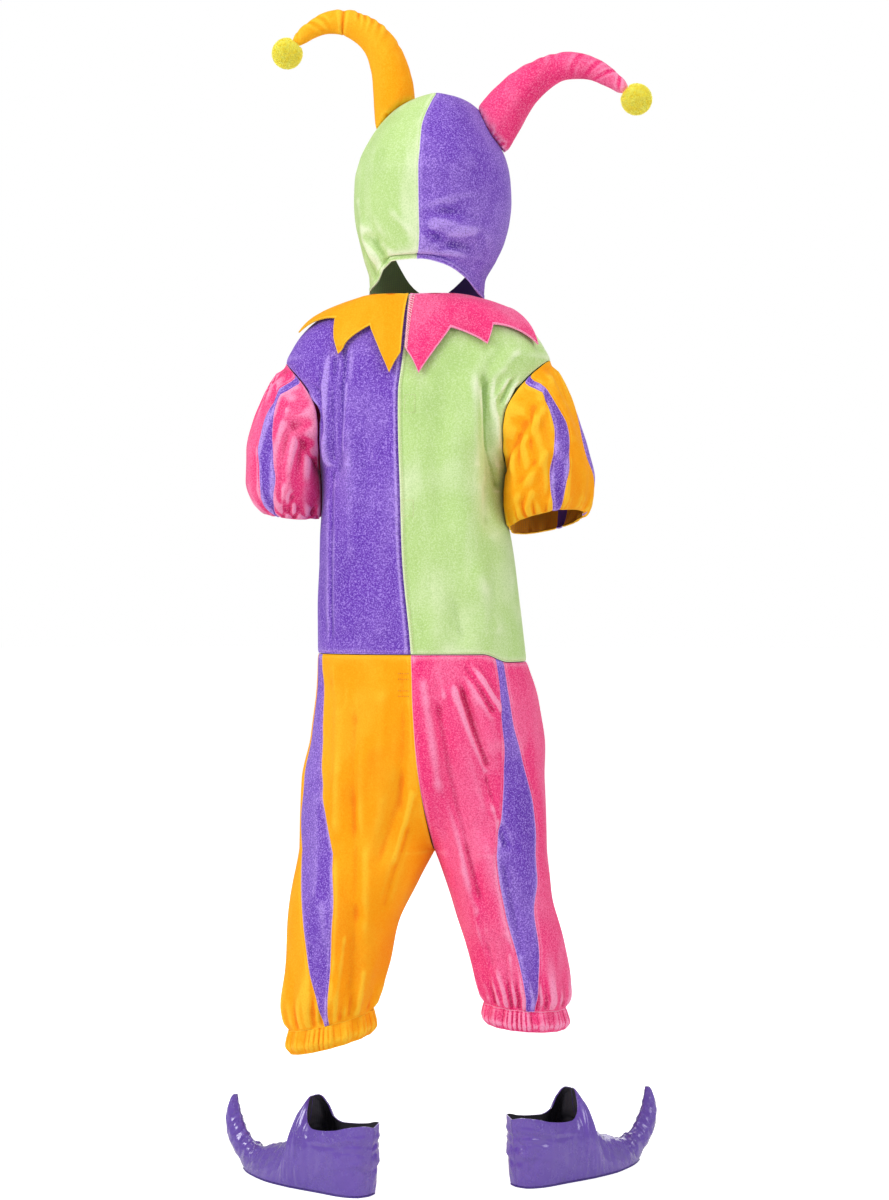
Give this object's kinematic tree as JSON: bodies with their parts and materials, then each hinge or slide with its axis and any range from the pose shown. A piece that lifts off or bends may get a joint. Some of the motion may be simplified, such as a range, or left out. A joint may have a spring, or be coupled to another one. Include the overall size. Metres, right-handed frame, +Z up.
{
  "type": "jester costume",
  "caption": "Jester costume in four-colour velour: hooded horns with pompoms, jagged collar, puff sleeves, gored trousers and curled-toe shoe covers, in the form it has when worn.",
  "frame": {"origin": "the middle of the neck opening at shoulder height, where the wearer holds the costume up", "axes": "+Z up, the wearer faces +Y, and +X is the wearer's right"},
  "size_m": [0.5089, 0.2708, 1.3567],
  "materials": {
    "velour_orange": "short-pile velour, soft sheen",
    "velour_pink": "short-pile velour, soft sheen",
    "velour_green": "short-pile velour, soft sheen",
    "velour_purple": "short-pile velour, soft sheen",
    "pompom_yellow": "cut yarn",
    "vinyl_purple": "glossy coated vinyl",
    "sole_purple": "satin coated vinyl"
  },
  "bodies": {
    "root": {"horn_left": "velour_orange", "collar_left": "velour_orange", "leg_left_back": "velour_orange", "leg_left_front": "velour_orange", "leg_left_cuff": "velour_orange", "sleeve_right_back_inner": "velour_orange", "sleeve_right_back_outer": "velour_orange", "sleeve_right_front_outer": "velour_orange", "sleeve_right_front_inner": "velour_orange", "horn_right": "velour_pink", "collar_right": "velour_pink", "leg_right_back": "velour_pink", "leg_right_front": "velour_pink", "leg_right_cuff": "velour_pink", "sleeve_left_back_inner": "velour_pink", "sleeve_left_back_outer": "velour_pink", "sleeve_left_front_outer": "velour_pink", "sleeve_left_front_inner": "velour_pink", "hood_left": "velour_green", "back_right": "velour_green", "front_right": "velour_green", "hood_right": "velour_purple", "back_left": "velour_purple", "front_left": "velour_purple", "leg_left_gore": "velour_purple", "leg_right_gore": "velour_purple", "sleeve_left_back_strip": "velour_purple", "sleeve_left_outer_strip": "velour_purple", "sleeve_left_front_strip": "velour_purple", "sleeve_right_back_strip": "velour_purple", "sleeve_right_outer_strip": "velour_purple", "sleeve_right_front_strip": "velour_purple", "pompom_left": "pompom_yellow", "pompom_right": "pompom_yellow", "shoe_left_port": "vinyl_purple", "shoe_left_starboard": "vinyl_purple", "shoe_right_port": "vinyl_purple", "shoe_right_starboard": "vinyl_purple", "shoe_left_sole": "sole_purple", "shoe_right_sole": "sole_purple"}
  },
  "joints": []
}
